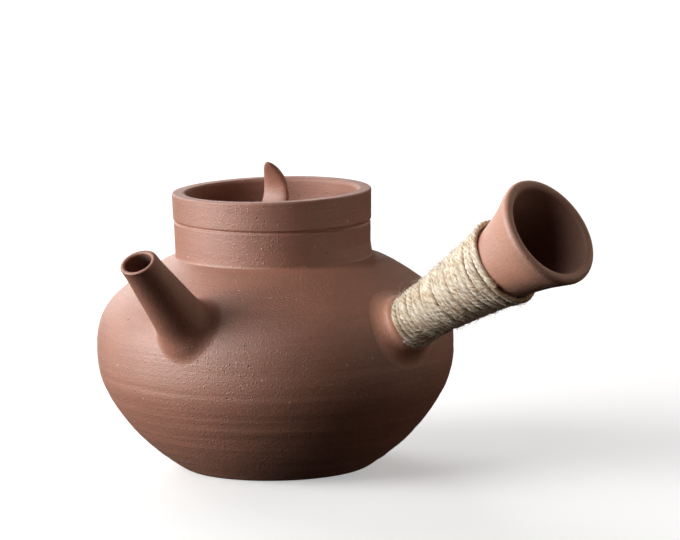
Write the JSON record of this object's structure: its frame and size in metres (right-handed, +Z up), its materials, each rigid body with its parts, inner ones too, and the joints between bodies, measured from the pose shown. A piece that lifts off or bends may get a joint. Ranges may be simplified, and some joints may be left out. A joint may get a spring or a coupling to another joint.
{
  "type": "side-handle kettle",
  "caption": "Unglazed clay kettle: globe body, upright collar, loose sunk lid with a curled tongue knob, short spout and a hollow trumpet side handle bound with jute.",
  "frame": {"origin": "centre of the flat base, on the surface that the kettle stands on", "axes": "+Z up along the pot's axis, +X the way the handle points seen from above; the spout points 81 degrees clockwise of the handle"},
  "size_m": [0.2333, 0.1828, 0.1302],
  "materials": {
    "clay": "matte",
    "jute": "matte"
  },
  "bodies": {
    "kettle": {"pot_base": "clay", "pot_belly": "clay", "pot_shoulder": "clay", "neck_collar": "clay", "lid_seat": "clay", "spout": "clay", "handle": "clay", "handle_binding": "jute"},
    "lid": {"lid_plate": "clay", "lid_flange": "clay", "lid_knob": "clay"}
  },
  "joints": [
    {"name": "lid_lift", "type": "slide", "parent": "kettle", "child": "lid", "axis": [0, 0, 1], "range_m": [0, 0.05]}
  ]
}
